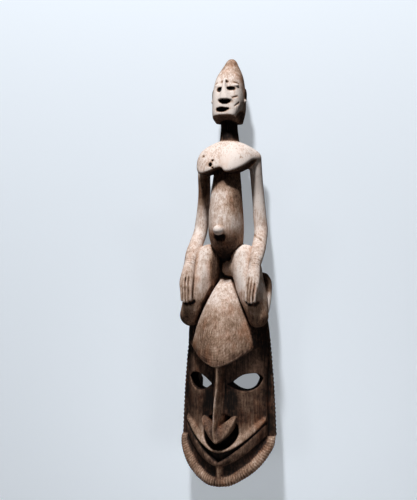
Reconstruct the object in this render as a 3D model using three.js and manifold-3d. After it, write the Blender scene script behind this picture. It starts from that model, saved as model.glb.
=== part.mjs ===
// A carved wooden dance mask: a deep face mask with a seated female figure on its top, all one log.
// Millimetres. The mask lies on its back: +Z is the front of the face, +Y runs from chin to crest and
// +X is the viewer's right. While it is being shaped, y is 0 at the chin and z is 0 at the notched
// flange, and the finished carving is moved so that its origin is at the middle of its underside.
import * as THREE from 'three';
import { mergeVertices } from 'three/addons/utils/BufferGeometryUtils.js';
import Module from 'manifold-3d';

// Rear plane of the log, where the mask's open back and the block behind the seat were sawn flat
const REAR = -45;

// Lower rim: a slanting cut through the log, carrying the beard roll
const RIM_HALF_WIDTH = 103;
const RIM_CORNER_Y = 86;
const RIM_CORNER_Z = 8;
const RIM_CHIN_Z = 92;
const RIM_POWER = 1.45;

// Face
const FACE_HALF_WIDTH = 87;
const FACE_TOP_Y = 300;
const CHEEK_Z = 46;
const CHEEK_Y = 240;
const CHEEK_LEAN = 0.15;
const CHEEK_FALL = 0.43;
const BACK_LOW_Y = 90;
const BACK_HALF_WIDTH = 85;
const BACK_TAPER = 0.04;

// Mouth and lips
const LIP_HALF_WIDTH = 88;
const MOUTH_Y = 69;
const MOUTH_RISE = 60;
const MOUTH_CORNER_Z = 24;
const MOUTH_BULGE = 68;
const LIP_STEP = 10;
const CHIN_Y = 41;
const CHIN_RISE = 62;
const LIP_TOP_Y = 118;

// Nose, its arrow-shaped wings, and the hollow between wings and upper lip
const NOSE_CREST_Z = 106;
const NOSE_SHOULDER = 40;
const NOSE_ROOT_Z = 25;
const NOSE_TIP_Y = 92;
const WING_SPAN = 37;
const WING_ROUND_FROM = 24;
const WING_Z = 106;
const WING_DROP = 14;
const WING_BACK_Z = 40;
const HOLLOW_Y = 113;
const HOLLOW_RADIUS = 37;

// Eyes: carved almonds with a smaller hole at the bottom
const LID_UPPER = [[17.5, 210], [36, 225], [55, 231], [71, 227.5], [80.5, 220.5]];
const LID_LOWER = [[80.5, 220.5], [71, 204], [54, 195], [36, 198.5], [17.5, 210]];
const EYE_INNER_X = 17.5;
const EYE_Y = 213;
const EYE_HOLE_LENGTH = 0.79;
const EYE_HOLE_HEIGHT = 0.9;
const EYE_BEVEL_DEPTH = 9;

// Flanges with notched edges
const FLANGE_LOW_Y = 97;
const FLANGE_TOP_Y = 305;
const FLANGE_INNER_X = 80;
const FLANGE_OUTER_X = 103.5;
const FLANGE_Z = -3;
const FLANGE_THICKNESS = 12;
const NOTCH_PITCH = 9;
const NOTCH_DEPTH = 2.2;

// Forehead: an overhanging fan-shaped boss with flat planes beside it
const BROW_Y = 249;
const BROW_Z = 109;
const BROW_CORNER_X = 67;
const BROW_CORNER_Y = 288;
const APEX_Y = 429;
const APEX_Z = 30;
const FAN_EDGE_LOW_Z = 26;
const FAN_EDGE_RISE = 32;
const FAN_STEP = 5;
const SIDE_X = 91;
const SIDE_LOW_Y = 302;
const SIDE_TOP_Y = 436;
const SIDE_TAPER = 59;
const FOREHEAD_BACK = 0.84;

// Inside of the mask
const WALL = 14;
const INSIDE_HALF_WIDTH = 77;
const INSIDE_TAPER = 0.035;
const INSIDE_CLOSE_Y = 270;
const INSIDE_TOP_Y = 338;
const INSIDE_BROW_RISE = 34;

// Chest: a shelf of two breasts that runs out into the shoulders
const CHEST_Z = 14;
const CHEST_TILT = 0.05;
const CLEFT_X = -2.5;
const CLEFT_WIDTH = 7;
const CLEFT_DEPTH = 7;
const CHEST_UNDERSIDE = [
  [-63, 664], [-55, 657], [-45, 654], [-25, 660], [-3, 668], [18, 656], [42, 666], [57, 680], [63, 688],
];

const WOOD = new THREE.MeshStandardMaterial({ color: 0x84705f, roughness: 0.75, metalness: 0 });

const wasm = await Module();
wasm.setup();

const smooth = (low, high, value) => THREE.MathUtils.smoothstep(value, low, high);
const mix = THREE.MathUtils.lerp;

// The value at x on a line through the points [x, value]
function along(points, x) {
  const last = points.length - 1;
  const k = Math.max(1, points.findIndex(([px], i) => i > 0 && (x <= px || i === last)));
  const [[x0, v0], [x1, v1]] = [points[k - 1], points[k]];
  return mix(v0, v1, THREE.MathUtils.clamp((x - x0) / (x1 - x0), 0, 1));
}

// A closed solid from a plain geometry, ready for joining and cutting
function solid(geometry) {
  geometry.deleteAttribute('normal');
  geometry.deleteAttribute('uv');
  const merged = mergeVertices(geometry, 1e-4);
  const position = merged.getAttribute('position');
  const index = Array.from(merged.getIndex().array);
  const triangles = [];
  let volume = 0;
  const [a, b, c] = [new THREE.Vector3(), new THREE.Vector3(), new THREE.Vector3()];
  for (let i = 0; i < index.length; i += 3) {
    const corner = index.slice(i, i + 3);
    if (new Set(corner).size < 3) continue;
    triangles.push(corner);
    a.fromBufferAttribute(position, corner[0]);
    b.fromBufferAttribute(position, corner[1]);
    c.fromBufferAttribute(position, corner[2]);
    volume += a.dot(b.cross(c));
  }
  const outward = volume > 0 ? triangles : triangles.map(([p, q, r]) => [p, r, q]);
  return new wasm.Manifold(new wasm.Mesh({
    numProp: 3,
    vertProperties: new Float32Array(position.array),
    triVerts: new Uint32Array(outward.flat()),
  }));
}

// Triangles between two neighbouring rows of points, closed round or open
function strip(first, second, count, closed) {
  const faces = [];
  for (let i = 0; i < (closed ? count : count - 1); i += 1) {
    const next = (i + 1) % count;
    faces.push(first + i, first + next, second + next);
    faces.push(first + i, second + next, second + i);
  }
  return faces;
}

function meshOf(points, faces) {
  const geometry = new THREE.BufferGeometry();
  geometry.setAttribute('position', new THREE.Float32BufferAttribute(points.flat(), 3));
  geometry.setIndex(faces);
  return solid(geometry);
}

// A skin over closed rings of equal length, with a flat fan at each end
function skin(rings) {
  const count = rings[0].length;
  const points = rings.flat();
  const faces = [];
  for (let r = 0; r < rings.length - 1; r += 1) {
    faces.push(...strip(r * count, (r + 1) * count, count, true));
  }
  for (const [ring, turned] of [[0, true], [rings.length - 1, false]]) {
    const middle = [0, 1, 2].map((k) => rings[ring].reduce((sum, p) => sum + p[k], 0) / count);
    points.push(middle);
    for (let i = 0; i < count; i += 1) {
      const [p, q] = [ring * count + i, ring * count + ((i + 1) % count)];
      faces.push(points.length - 1, turned ? q : p, turned ? p : q);
    }
  }
  return meshOf(points, faces);
}

// A carved face backed by a plain one: two grids of equal size joined round their edges
function slab(front, back) {
  const rows = front.length;
  const count = front[0].length;
  const points = [...front.flat(), ...back.flat()];
  const offset = rows * count;
  const faces = [];
  for (let r = 0; r < rows - 1; r += 1) {
    faces.push(...strip(r * count, (r + 1) * count, count, false));
    const behind = strip(offset + r * count, offset + (r + 1) * count, count, false);
    faces.push(...behind.reverse());
  }
  const edge = [];
  for (let i = 0; i < count; i += 1) edge.push(i);
  for (let r = 1; r < rows; r += 1) edge.push(r * count + count - 1);
  for (let i = count - 2; i >= 0; i -= 1) edge.push((rows - 1) * count + i);
  for (let r = rows - 2; r > 0; r -= 1) edge.push(r * count);
  edge.forEach((p, i) => {
    const q = edge[(i + 1) % edge.length];
    faces.push(q, p, p + offset);
    faces.push(q, p + offset, q + offset);
  });
  return meshOf(points, faces);
}

// Points round a section whose outline goes from an ellipse (power 2) towards a rectangle
function section(sides, power) {
  return Array.from({ length: sides }, (_, i) => {
    const angle = (2 * Math.PI * i) / sides;
    const [c, s] = [Math.cos(angle), Math.sin(angle)];
    const reach = (Math.abs(c) ** power + Math.abs(s) ** power) ** (-1 / power);
    return [c * reach, s * reach];
  });
}

// A limb: rounded sections square to a smooth path. A station is [x, y, z, half width, half depth].
function limb(stations, { steps = 10, sides = 12, power = 2, capped = [true, true] } = {}) {
  const path = new THREE.CatmullRomCurve3(stations.map(([x, y, z]) => new THREE.Vector3(x, y, z)));
  const size = new THREE.CatmullRomCurve3(stations.map(([, , , w, d]) => new THREE.Vector3(w, d, 0)));
  const rings = [];
  const ring = (t, offset, scale) => {
    const tangent = path.getTangent(t).normalize();
    const centre = path.getPoint(t).addScaledVector(tangent, offset);
    const [w, d] = size.getPoint(t).toArray();
    const across = new THREE.Vector3(1, 0, 0).addScaledVector(tangent, -tangent.x).normalize();
    const out = new THREE.Vector3().crossVectors(across, tangent);
    rings.push(section(sides, power).map(([c, s]) => centre.clone()
      .addScaledVector(across, w * c * scale).addScaledVector(out, d * s * scale).toArray()));
  };
  const roundings = [0.4, 0.75, 0.94];
  const endRadius = (k) => Math.min(stations[k][3], stations[k][4]);
  if (capped[0]) {
    [...roundings].reverse().forEach((k) => ring(0, -k * endRadius(0), Math.sqrt(1 - k * k)));
  }
  for (let i = 0; i <= steps; i += 1) ring(i / steps, 0, 1);
  if (capped[1]) {
    const last = stations.length - 1;
    roundings.forEach((k) => ring(1, k * endRadius(last), Math.sqrt(1 - k * k)));
  }
  return skin(rings);
}

// A rounded lump
function lump([x, y, z], [rx, ry, rz], around = 12, down = 8) {
  const geometry = new THREE.SphereGeometry(1, around, down);
  geometry.scale(rx, ry, rz);
  geometry.translate(x, y, z);
  return solid(geometry);
}

const mirrored = (stations) => stations.map(([x, ...rest]) => [-x, ...rest]);
const bothSides = (distances) => [...distances.slice(1).reverse().map((a) => -a), ...distances];
const join = (solids) => solids.reduce((whole, next) => whole.add(next));

// Curves that the face is laid out on, each a function of the distance a from the middle line
const rimZ = (a) => {
  const share = Math.min(a / RIM_HALF_WIDTH, 1) ** RIM_POWER;
  return RIM_CORNER_Z + (RIM_CHIN_Z - RIM_CORNER_Z) * (1 - share) ** (1 / RIM_POWER);
};
const rimY = (a) => {
  const share = a / RIM_HALF_WIDTH;
  return RIM_CORNER_Y * (0.3 * share ** 1.3 + 0.7 * share ** 4);
};
const beardInnerY = (a) => 10 + 78 * (0.25 * (a / LIP_HALF_WIDTH) + 0.75 * (a / LIP_HALF_WIDTH) ** 3.2);
const chinY = (a) => CHIN_Y + CHIN_RISE * (a / LIP_HALF_WIDTH) ** 1.75;
const mouthY = (a) => MOUTH_Y + MOUTH_RISE * (a / LIP_HALF_WIDTH) ** 1.75;
const mouthZ = (a) => MOUTH_CORNER_Z + MOUTH_BULGE * (1 - (a / (LIP_HALF_WIDTH + 2)) ** 1.7);
const mouthGap = (a) => 2.5 + 16.5 * (1 - a / LIP_HALF_WIDTH) ** 2.2;
const lipTopY = (a) => LIP_TOP_Y + 20 * (a / LIP_HALF_WIDTH) ** 1.5;
const cheekZ = (a, y) => CHEEK_Z + CHEEK_LEAN * (CHEEK_Y - y) - CHEEK_FALL * a;
const browY = (a) => BROW_Y + (BROW_CORNER_Y - BROW_Y) * Math.min(a / BROW_CORNER_X, 1) ** 1.6;

// Heights and depths up the face at the distance a, from the rim to above the eyes
function faceProfile(a) {
  const lipY = mouthY(a) - mouthGap(a);
  const lipZ = mouthZ(a);
  const low = chinY(a);
  const top = lipTopY(a);
  const topZ = cheekZ(a, top);
  return [
    [rimY(a) + 1, rimZ(a) - 8],
    [beardInnerY(a), rimZ(a) - LIP_STEP],
    [low - 1, lipZ - LIP_STEP],
    [low + 1.5, lipZ - 2],
    [(low + lipY) / 2, lipZ + 1.5],
    [lipY, lipZ + 0.5],
    [lipY + 1, lipZ - LIP_STEP + 1],
    [mouthY(a) - 1, lipZ - LIP_STEP + 1],
    [mouthY(a), lipZ],
    [mix(mouthY(a), top, 0.45), mix(lipZ, topZ, 0.45) + 4],
    [top, topZ + 1],
    [top + 3, cheekZ(a, top + 3) - 0.5],
    [165, cheekZ(a, 165)],
    [205, cheekZ(a, 205)],
    [250, cheekZ(a, 250)],
    [FACE_TOP_Y, cheekZ(a, FACE_TOP_Y)],
  ];
}

function faceBlock() {
  const columns = bothSides([0, 4, 12, 22, 32, 42, 52, 62, 71, 79, FACE_HALF_WIDTH]);
  const front = columns.map((x) => faceProfile(Math.abs(x)).map(([y, z]) => [x, y, z]));
  const back = columns.map((x) => front[0].map((_, r) => {
    const y = mix(BACK_LOW_Y, FACE_TOP_Y, r / (front[0].length - 1));
    const share = (BACK_HALF_WIDTH - BACK_TAPER * (y - BACK_LOW_Y)) / FACE_HALF_WIDTH;
    return [x * share, y, REAR];
  }));
  return slab(front, back);
}

// The hollow that takes the wearer's face: the outside's planes, one wall thickness further in
function inside() {
  const columns = bothSides([0, 16, 32, 46, 57, 65, 71, 75, INSIDE_HALF_WIDTH]);
  const heights = [-40, 20, 50, 75, 95, 115, 200, 250, 264, 280, 295, 309, 321, 330, 336, INSIDE_TOP_Y];
  const depth = (a, y) => {
    const outside = mix(mouthZ(a) - LIP_STEP, cheekZ(a, y), smooth(60, 110, y));
    const rise = INSIDE_BROW_RISE * smooth(browY(a) + 8, browY(a) + 42, y);
    const edge = Math.sqrt(Math.max(0, 1 - (a / INSIDE_HALF_WIDTH) ** 10));
    const close = Math.max(0, (y - INSIDE_CLOSE_Y) / (INSIDE_TOP_Y - INSIDE_CLOSE_Y));
    return (outside - WALL + rise - REAR) * edge * Math.sqrt(Math.max(0, 1 - close ** 4));
  };
  const width = (y) => 1 - (INSIDE_TAPER * Math.max(0, y - BACK_LOW_Y)) / INSIDE_HALF_WIDTH;
  const grid = (z) => columns.map((x) => heights.map((y) => [x * width(y), y, z(Math.abs(x), y)]));
  return slab(grid((a, y) => REAR - 1 + depth(a, y)), grid(() => REAR - 20));
}

// An almond carved into the face, with the hole at its bottom
function eyeHole(side) {
  const lid = (points) => new THREE.SplineCurve(points.map(([x, y]) => new THREE.Vector2(x, y)))
    .getPoints(7).slice(0, -1).map((p) => [p.x, p.y]);
  const almond = [...lid(LID_UPPER), ...lid(LID_LOWER)];
  const ring = (length, height, offset) => almond.map(([x, y]) => {
    const px = EYE_INNER_X + (1 - length) * 6 + (x - EYE_INNER_X) * length;
    const py = EYE_Y + (y - EYE_Y) * height;
    return [side * px, py, cheekZ(px, py) + offset];
  });
  const hole = [EYE_HOLE_LENGTH, EYE_HOLE_HEIGHT];
  return skin([ring(...hole, -90), ring(...hole, -EYE_BEVEL_DEPTH), ring(1, 1, 0), ring(1.04, 1.04, 45)]);
}

// The dark hollow under the nose, down to the plane of the cheeks
function noseHollow() {
  const ring = (scale, offset) => section(22, 2).map(([c, s]) => {
    const x = HOLLOW_RADIUS * scale * c;
    const y = HOLLOW_Y + HOLLOW_RADIUS * scale * s;
    return [x, y, cheekZ(Math.abs(x), y) + offset];
  });
  return skin([ring(0.9, -0.5), ring(1, 12), ring(1.02, 60)]);
}

// The nose: a sharp crest that bends a little to the left, two steep planes down to its shoulders, and
// sides that run on into the face. A row is [y, x of the crest, half width].
function nose() {
  const rows = [
    [NOSE_TIP_Y + 4, -2, 4], [112, -7, 6.5], [133, -6.5, 9], [153, -5.5, 11], [174, -3.5, 13], [194, 0, 14.5],
    [220, 2, 15], [258, 2, 13.5],
  ];
  return skin(rows.map(([y, crest, w]) => {
    const left = Math.min(-w, crest - 4);
    return [
      [left - 1.5, NOSE_ROOT_Z], [left, NOSE_CREST_Z - NOSE_SHOULDER], [crest - 1.2, NOSE_CREST_Z],
      [crest + 1.2, NOSE_CREST_Z], [w, NOSE_CREST_Z - NOSE_SHOULDER], [w + 1.5, NOSE_ROOT_Z],
    ].map(([x, z]) => [x, y, z]);
  }));
}

// The two up-swept wings that make the nose an arrow
function noseWings() {
  const columns = bothSides([0, 5, 12, 18, WING_ROUND_FROM, 29, 33, 35.5, WING_SPAN - 0.3]);
  const front = columns.map((x) => {
    const a = Math.abs(x);
    const low = NOSE_TIP_Y + 0.45 * a + 0.0195 * a * a;
    const high = LIP_TOP_Y - 5 + 0.87 * a;
    const end = Math.max(0, (a - WING_ROUND_FROM) / (WING_SPAN - WING_ROUND_FROM));
    const height = (high - low) * Math.sqrt(1 - end * end);
    return [0, 0.15, 0.45, 0.75, 1].map((v) => {
      const y = (low + high) / 2 + height * (v - 0.5);
      const bulge = 3 * Math.sin(Math.PI * v) - WING_DROP * v ** 1.3;
      return [x, y, WING_Z - 0.45 * a - 3 * end * end + bulge];
    });
  });
  return slab(front, front.map((row) => row.map(([x, y]) => [x, y, WING_BACK_Z])));
}

function chinRidge() {
  return skin([[3, 88], [20, 90.5], [44, 91.5]].map(([y, z]) => [
    [-7, y, 60], [-6, y, z - 9], [-2.5, y, z], [2.5, y, z], [6, y, z - 9], [7, y, 60],
  ]));
}

// The rounded roll along the lower rim, like a beard
function beardRoll() {
  const half = [
    [20, 10, 79.5, 10, 10], [40, 20, 69, 10.5, 10.5], [60, 34.5, 54.5, 11, 11], [75, 50.5, 41.5, 11, 11],
    [85, 66, 29.5, 11, 10.5], [92, 82, 18, 10.5, 9.5], [94, 98, 8, 9.5, 8.5],
  ];
  const stations = [...mirrored(half).reverse(), [0, 8, 83, 9.5, 9.5], ...half];
  const path = new THREE.CatmullRomCurve3(stations.map(([x, y, z]) => new THREE.Vector3(x, y, z)));
  const size = new THREE.CatmullRomCurve3(stations.map(([, , , w, d]) => new THREE.Vector3(w, d, 0)));
  const rings = [];
  const steps = 26;
  for (let i = 0; i <= steps; i += 1) {
    const t = i / steps;
    const tangent = path.getTangent(t);
    const away = new THREE.Vector3(0, 0.55, 1).normalize();
    const across = new THREE.Vector3().crossVectors(away, tangent).normalize();
    const out = new THREE.Vector3().crossVectors(tangent, across).normalize();
    const [w, d] = size.getPoint(t).toArray();
    rings.push(section(8, 2).map(([c, s]) => path.getPoint(t)
      .addScaledVector(across, w * c).addScaledVector(out, d * s).toArray()));
  }
  return skin(rings);
}

const flangeX = (y) => FLANGE_OUTER_X - 0.03 * (y - FLANGE_LOW_Y) - 0.00018 * (y - FLANGE_LOW_Y) ** 2;

function flange(side) {
  const outline = [[FLANGE_INNER_X, FLANGE_LOW_Y]];
  const notches = Math.floor((FLANGE_TOP_Y - 15 - FLANGE_LOW_Y) / NOTCH_PITCH);
  for (let k = 0; k < notches; k += 1) {
    const y = FLANGE_LOW_Y + k * NOTCH_PITCH;
    outline.push([flangeX(y), y + 1.2]);
    outline.push([flangeX(y), y + NOTCH_PITCH - 2.4]);
    outline.push([flangeX(y) - NOTCH_DEPTH, y + NOTCH_PITCH - 0.6]);
  }
  outline.push([flangeX(FLANGE_TOP_Y - 12), FLANGE_TOP_Y - 12]);
  outline.push([flangeX(FLANGE_TOP_Y), FLANGE_TOP_Y]);
  outline.push([FLANGE_INNER_X, FLANGE_TOP_Y]);
  const shape = new THREE.Shape(outline.map(([x, y]) => new THREE.Vector2(side * x, y)));
  const geometry = new THREE.ExtrudeGeometry(shape, { depth: FLANGE_THICKNESS, bevelEnabled: false });
  geometry.translate(0, 0, FLANGE_Z);
  return solid(geometry);
}

// The forehead boss, its domed fan carried on a block that runs back to the rear plane
function forehead() {
  const half = (s) => {
    const edgeX = mix(BROW_CORNER_X, 10, s) + 28 * s * (1 - s);
    const edgeZ = FAN_EDGE_LOW_Z + FAN_EDGE_RISE * Math.sqrt(1 - s ** 3);
    const middleZ = APEX_Z + (BROW_Z - APEX_Z) * (1 - s ** 1.7) ** 0.75;
    const onFan = [0, 0.2, 0.4, 0.6, 0.8, 1].map((q) => {
      const y = mix(mix(BROW_Y, BROW_CORNER_Y, q ** 1.6), APEX_Y, s);
      return [q * edgeX, y, mix(middleZ, edgeZ, q ** 1.75)];
    });
    const edgeY = mix(BROW_CORNER_Y, APEX_Y, s);
    const sideY = mix(SIDE_LOW_Y, SIDE_TOP_Y, s);
    const sideX = SIDE_X - SIDE_TAPER * s * s;
    const sideZ = mix(2, -15, s) + 50 * s * (1 - s);
    const step = [edgeX + 1.5, edgeY, edgeZ - FAN_STEP];
    const middle = [mix(step[0], sideX, 0.5) + 3, (edgeY + sideY) / 2, mix(step[2], sideZ, 0.45)];
    return [...onFan, step, middle, [sideX, sideY, sideZ]];
  };
  const front = [0, 0.15, 0.32, 0.5, 0.68, 0.85, 0.95, 1].map((s) => {
    const right = half(s);
    return [...mirrored(right.slice(1)).reverse(), ...right];
  });
  const back = front.map((row, r) => row.map(([x, y]) => [x * FOREHEAD_BACK, r > 0 ? y : y - 12, REAR]));
  return slab(front, back);
}

// The seat that joins the forehead block to the figure's hips
function seat() {
  return limb([[0, 395, -8, 46, 34], [0, 430, -6, 42, 35], [0, 462, 0, 40, 30], [0, 486, 6, 34, 24]], {
    steps: 4, power: 3, capped: [false, true],
  });
}

function torso() {
  return limb([
    [0, 430, 4, 26, 20], [0, 462, 6, 27, 24], [0, 490, 13, 30, 30], [0.5, 512, 23, 34.5, 41],
    [0.5, 532, 29, 36.3, 50], [0.5, 556, 30, 36.2, 46], [0, 585, 28, 34.5, 38], [-0.5, 620, 23, 31.5, 31],
    [-1, 655, 17, 28, 25], [0, 690, 12, 26, 20],
  ], { steps: 13, sides: 16 });
}

function chest() {
  const ring = (width, front, back, cleft, height) => section(24, 2.3).map(([c, s]) => {
    const x = width * c;
    const gap = Math.exp(-(((x - CLEFT_X) / CLEFT_WIDTH) ** 2));
    const z = CHEST_Z + s * (s > 0 ? front - CLEFT_DEPTH * cleft * gap : back);
    return [x, height(x), z];
  });
  const under = (x) => along(CHEST_UNDERSIDE, x);
  const upper = (y) => (x) => Math.max(y + CHEST_TILT * x, under(x) + 3);
  return skin([
    ring(21, 20, 19, 0, upper(718)), ring(36, 27, 23, 0, upper(712)), ring(50, 35, 26, 0.2, upper(704)),
    ring(58, 43, 27.5, 0.5, upper(694)), ring(62.5, 50, 28, 0.9, upper(682)),
    ring(63.5, 54, 27, 1, (x) => (upper(682)(x) + under(x)) / 2),
    ring(62, 53, 25.5, 1, (x) => under(x) + 2), ring(57, 48, 22, 1, under), ring(30, 24, 10, 0, () => 672),
  ]);
}

function arm(side) {
  const shoulderY = side > 0 ? 684 : 677;
  const stations = [
    [57, shoulderY, 5, 12.8, 13], [57.5, 655, 0, 13.2, 13], [60, 603, -9, 13, 13], [64.3, 553, -9, 14.2, 13.5],
    [67.3, 526, -4, 14.4, 15], [69.7, 502, 17, 14.8, 14], [71, 482, 39, 14.6, 13], [70.8, 460, 58, 12.3, 11.5],
    [71.5, 438, 72, 14, 11], [72, 420, 81, 14.7, 10.5], [69, 391, 88, 12.5, 8.5],
  ];
  return limb(side > 0 ? stations : mirrored(stations), { steps: 17, sides: 9 });
}

// A folded leg: thigh down to the knee, shin back up beside it, and the foot tucked in behind
function leg(side) {
  const thigh = [
    [39, 472, 18, 29, 36], [44, 448, 24, 31, 40], [52, 418, 30, 30, 42], [61, 385, 36, 29, 39],
    [73, 352, 44, 23, 26],
  ];
  const shin = [[79, 350, 32, 10, 10], [83.5, 368, 20, 9, 9.5], [84, 400, 5, 8.8, 10], [80.5, 431, -9, 8.5, 10]];
  const place = (stations) => (side > 0 ? stations : mirrored(stations));
  return join([
    limb(place(thigh), { steps: 7, sides: 15 }),
    limb(place(shin), { steps: 4, sides: 8 }),
    lump([side * 60, 431, -20], [22, 10, 10], 8, 5),
  ]);
}

// The face on the figure's head: wedge nose, slit eyes, mouth and ears
function head() {
  const skull = [
    [0, 758, 7, 22, 22, 2.4, 6], [0, 762, 8, 29, 31, 2.7, 9], [0, 771, 9, 34.3, 37.3, 3, 3],
    [0, 779, 9, 35, 38, 2.9, 0], [0, 800, 9, 35, 38, 2.7, 0], [0.5, 818, 8, 34, 37, 2.6, 0],
    [1, 840, 6, 31, 34, 2.4, 0], [1.5, 857, 3, 26.5, 29, 2.2, 0], [2, 869, 0, 20.5, 22.5, 2, 0],
    [2.5, 880, -2, 14.5, 16, 2, 0], [3, 888, -3, 10, 11, 2, 0], [3, 894, -3, 4, 4.5, 2, 0],
  ];
  const rings = skull.map(([x, y, z, w, d, power, lift]) => section(18, power).map(([c, s]) => (
    [x + w * c, y + lift * Math.max(0, s) ** 2, z + d * s])));
  const ridge = [[848, 0.5, 3, 41], [832, 0.5, 5, 48.5], [813, 2, 11, 54.5], [804, 2.5, 13, 54], [799, 2.5, 12, 50]];
  const nose = skin(ridge.map(([y, x, w, z]) => [
    [x - w, y, 30], [x - w, y, z - 9], [x - w * 0.35, y, z], [x + w * 0.35, y, z], [x + w, y, z - 9], [x + w, y, 30],
  ]));
  const ears = [-1, 1].map((side) => lump([side * 33.5, 815, 4], [4.5, 16, 8], 8, 5));
  const cuts = [
    lump([-9.8, 827, 43], [6.2, 3.8, 6], 10, 6), lump([16, 829, 40], [10, 3.2, 6], 10, 6),
    lump([-1.5, 784.5, 48], [14.5, 5, 6], 10, 5),
    lump([-6.5, 845, 42], [2.4, 4, 5], 8, 4), lump([6, 845, 42], [2.4, 4, 5], 8, 4),
  ];
  return cuts.reduce((carved, cut) => carved.subtract(cut), join([skin(rings), nose, ...ears]));
}

function neck() {
  return limb([[2, 700, 10, 22, 21], [2, 722, 10, 20.5, 20], [1.2, 745, 9, 18, 18], [0.5, 770, 9, 17.8, 17.8]], {
    steps: 4, capped: [false, false],
  });
}

const mask = join([
  faceBlock().subtract(noseHollow()), nose(), noseWings(), chinRidge(), beardRoll(),
  flange(-1), flange(1), forehead(),
]).subtract(inside()).subtract(eyeHole(-1)).subtract(eyeHole(1));

const navel = lump([-1.5, 532, 82], [11, 10.5, 13]);
const belowBelly = lump([4, 449, 26], [13, 12, 12]);
const figure = join([
  seat(), torso(), navel, belowBelly, chest(), arm(-1), arm(1), leg(-1), leg(1), neck(), head(),
]);

const carving = mask.add(figure).getMesh();
const geometry = new THREE.BufferGeometry();
geometry.setAttribute('position', new THREE.BufferAttribute(carving.vertProperties, 3));
geometry.setIndex(new THREE.BufferAttribute(carving.triVerts, 1));
geometry.computeVertexNormals();
geometry.computeBoundingBox();

const body = new THREE.Mesh(geometry, WOOD);
body.name = 'mask';
const box = geometry.boundingBox;
body.position.set(-(box.min.x + box.max.x) / 2, -(box.min.y + box.max.y) / 2, -box.min.z);

const group = new THREE.Group();
group.add(body);

export default group;
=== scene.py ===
import bpy
import numpy as np
from mathutils import Matrix, Vector


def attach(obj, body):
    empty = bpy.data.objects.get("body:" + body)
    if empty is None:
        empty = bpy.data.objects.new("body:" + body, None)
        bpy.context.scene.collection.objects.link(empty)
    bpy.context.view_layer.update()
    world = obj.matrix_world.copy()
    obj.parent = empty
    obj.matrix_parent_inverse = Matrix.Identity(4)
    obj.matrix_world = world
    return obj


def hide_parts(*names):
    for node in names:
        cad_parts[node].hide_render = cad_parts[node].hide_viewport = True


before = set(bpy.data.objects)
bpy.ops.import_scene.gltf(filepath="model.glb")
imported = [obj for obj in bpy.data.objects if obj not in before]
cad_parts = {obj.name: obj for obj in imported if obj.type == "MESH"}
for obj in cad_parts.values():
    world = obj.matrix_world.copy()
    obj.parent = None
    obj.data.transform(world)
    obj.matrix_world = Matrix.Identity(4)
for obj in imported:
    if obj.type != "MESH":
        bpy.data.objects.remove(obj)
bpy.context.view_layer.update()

# The log. Mask and figure are one length of wood, roughed out with an adze and finished with a knife.
# It is modelled the same way: a block of space holds, at each of its points, the distance in mm to the
# nearest wood surface, and every form is left standing in it or carved away from it.
STEP = 1.3
FAR = 12.0
AXES = [np.arange(low, high, STEP, dtype=np.float32) for low, high in ((-112, 113), (-9, 903), (-52, 118))]
wood = np.full([axis.size for axis in AXES], FAR, np.float32)
shade = np.full_like(wood, 0.2)

# The mask's face. The log's front is cut to cheeks that fall away to the sides and run down into two
# lips, with the mouth sawn in as one wide slit and the chin stepped back over a slanting lower rim. Its
# lines are curves over the distance from the middle, out to where rim and lips end.
BACK = -45
RIM_REACH = 103
LIP_REACH = 88


def places(part):
    """The x, y and z of a part of the block, as open arrays."""
    return np.ix_(*(axis[cut] for axis, cut in zip(AXES, part)))


def region(low, high):
    """The part of the block between two corners, with its x, y and z."""
    part = tuple(slice(*np.searchsorted(axis, ends)) for axis, ends in zip(AXES, zip(low, high)))
    return part, *places(part)


part, x, y, z = region((-93, -8, -48), (93, 306, 104))
a = np.abs(x)
rim_y = 1 + 86 * (0.3 * (a / RIM_REACH) ** 1.3 + 0.7 * (a / RIM_REACH) ** 4)
rim_z = 84 * (1 - (a / RIM_REACH) ** 1.45) ** (1 / 1.45)
chin_y = 41 + 62 * (a / LIP_REACH) ** 1.75
mouth_y = 69 + 60 * (a / LIP_REACH) ** 1.75
mouth_z = 24 + 68 * (1 - (a / 90) ** 1.7)
lip_y = mouth_y - 2.5 - 16.5 * np.clip(1 - a / LIP_REACH, 0, 1) ** 2.2
top_y = 118 + 20 * (a / LIP_REACH) ** 1.5
beard_y = 10 + 78 * (0.25 * a / LIP_REACH + 0.75 * (a / LIP_REACH) ** 3.2)


def cheek(a, y):
    """Height of the cheek at a distance a from the middle: a plane that leans back and falls sideways."""
    return 46 + 0.15 * (240 - y) - 0.43 * a


def share_of(v, low, high):
    """How far v has come from low to high, from 0 to 1."""
    return np.clip((v - low) / (high - low), 0, 1)


def mix(a, b, share):
    """The value between a and b at that share of the way."""
    return a + (b - a) * share


lower = share_of(y, chin_y, lip_y)
upper = share_of(y, mouth_y, top_y)
lips = mix(mouth_z - 2, mouth_z + 0.5, lower) + 2.2 * np.sin(np.pi * lower)
bulge = mix(mouth_z, cheek(a, top_y) + 3.5, upper) + 4 * np.sin(np.pi * upper)
lips = np.where(y > mouth_y, bulge, lips)
lips = np.where(y > top_y, cheek(a, y) + 3.5 * share_of(y, top_y + 4, top_y), lips)
under_chin = mix(rim_z, rim_z - 2, share_of(y, rim_y, beard_y))
under_chin = mix(under_chin, mouth_z - 10, share_of(y, beard_y, chin_y))


def either(a, b, soft=0.001):
    """The nearer of two forms; the corner where they meet fills by up to a quarter of soft."""
    return np.minimum(a, b) - np.maximum(soft - np.abs(a - b), 0) ** 2 / (4 * soft)


def both(a, b, soft=0.001):
    """What two forms share, with its corner rounded by up to a quarter of soft."""
    return -either(-a, -b, soft)


def beyond(y, curve):
    """Distance past a line given as y over x: the difference, over the line's own slope length."""
    return (y - curve) / np.sqrt(1 + np.gradient(curve, STEP, axis=0) ** 2)


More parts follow.
